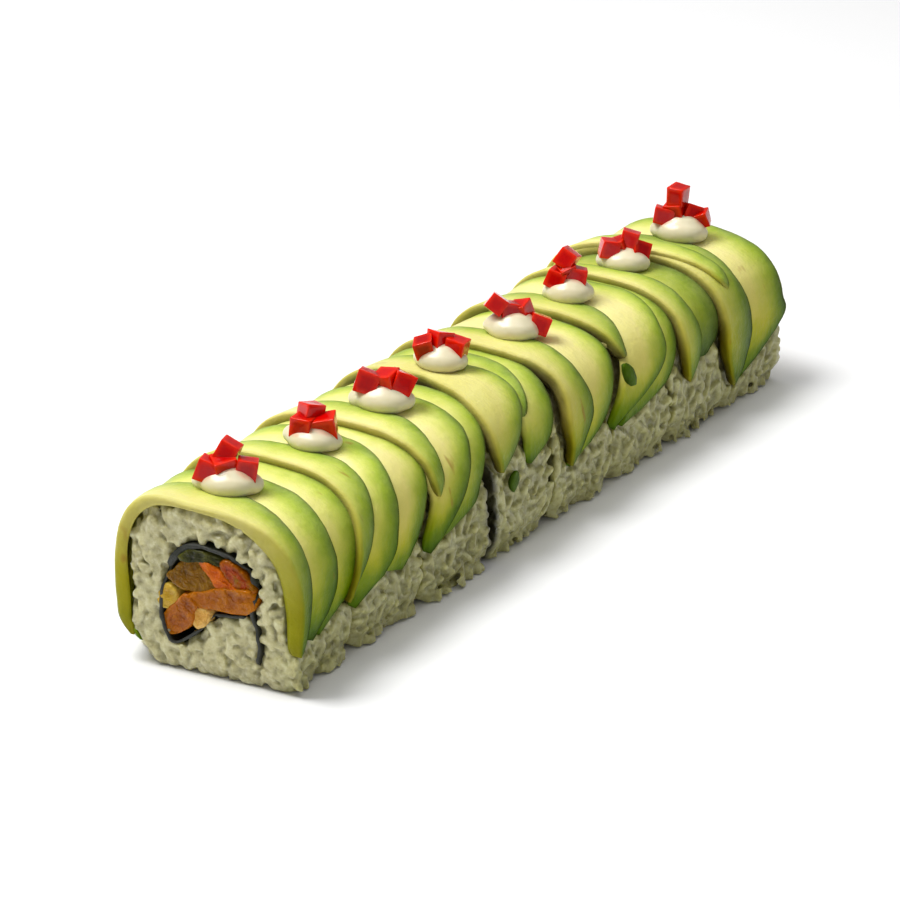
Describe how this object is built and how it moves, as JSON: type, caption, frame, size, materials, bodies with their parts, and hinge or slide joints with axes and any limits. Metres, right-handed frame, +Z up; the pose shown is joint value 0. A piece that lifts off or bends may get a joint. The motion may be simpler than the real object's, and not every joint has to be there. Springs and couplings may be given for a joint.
{
  "type": "uramaki roll",
  "caption": "Cut inside-out sushi roll: rice round a nori sheet and vegetable strips, draped with overlapping avocado slices and dotted with cream dollops and red dice.",
  "frame": {"origin": "centre of the bounding box in plan, on the surface the roll rests on", "axes": "+X along the roll from its shown cut end to the other end, +Y to the long side away from the viewer, +Z up"},
  "size_m": [0.2018, 0.0516, 0.0508],
  "materials": {
    "rice": "moist cooked rice",
    "nori": "damp dark seaweed sheet",
    "avocado": "moist flesh, yellow to green at the skin side",
    "cream": "smooth glossy cream",
    "red_dice": "wet glossy translucent dice",
    "filling_green_stem": "wet cooked vegetable",
    "filling_brown_strip": "wet cooked vegetable",
    "filling_coral_strip": "wet cooked vegetable",
    "filling_red_strip": "wet cooked vegetable",
    "filling_orange_strip": "wet cooked vegetable",
    "filling_amber_strip": "wet cooked vegetable",
    "filling_sprout_1": "wet cooked vegetable",
    "filling_sprout_2": "wet cooked vegetable"
  },
  "bodies": {
    "root": {"rice_piece_1": "rice", "rice_piece_2": "rice", "rice_piece_3": "rice", "rice_piece_4": "rice", "rice_piece_5": "rice", "rice_piece_6": "rice", "rice_piece_7": "rice", "rice_piece_8": "rice", "nori_sheet": "nori", "filling_green_stem": "filling_green_stem", "filling_brown_strip": "filling_brown_strip", "filling_coral_strip": "filling_coral_strip", "filling_red_strip": "filling_red_strip", "filling_orange_strip": "filling_orange_strip", "filling_amber_strip": "filling_amber_strip", "filling_sprout_1": "filling_sprout_1", "filling_sprout_2": "filling_sprout_2", "avocado_slice_01": "avocado", "avocado_slice_02": "avocado", "avocado_slice_03": "avocado", "avocado_slice_04": "avocado", "avocado_slice_05": "avocado", "avocado_slice_06": "avocado", "avocado_slice_07": "avocado", "avocado_slice_08": "avocado", "avocado_slice_09": "avocado", "avocado_slice_10": "avocado", "avocado_slice_11": "avocado", "avocado_slice_12": "avocado", "avocado_slice_13": "avocado", "avocado_slice_14": "avocado", "avocado_slice_15": "avocado", "avocado_slice_16": "avocado", "avocado_slice_17": "avocado", "avocado_slice_18": "avocado", "avocado_slice_19": "avocado", "avocado_slice_20": "avocado", "avocado_slice_21": "avocado", "avocado_slice_22": "avocado", "cream_dollop_1": "cream", "cream_dollop_2": "cream", "cream_dollop_3": "cream", "cream_dollop_4": "cream", "cream_dollop_5": "cream", "cream_dollop_6": "cream", "cream_dollop_7": "cream", "cream_dollop_8": "cream", "red_dice_1": "red_dice", "red_dice_2": "red_dice", "red_dice_3": "red_dice", "red_dice_4": "red_dice", "red_dice_5": "red_dice", "red_dice_6": "red_dice", "red_dice_7": "red_dice", "red_dice_8": "red_dice"}
  },
  "joints": []
}
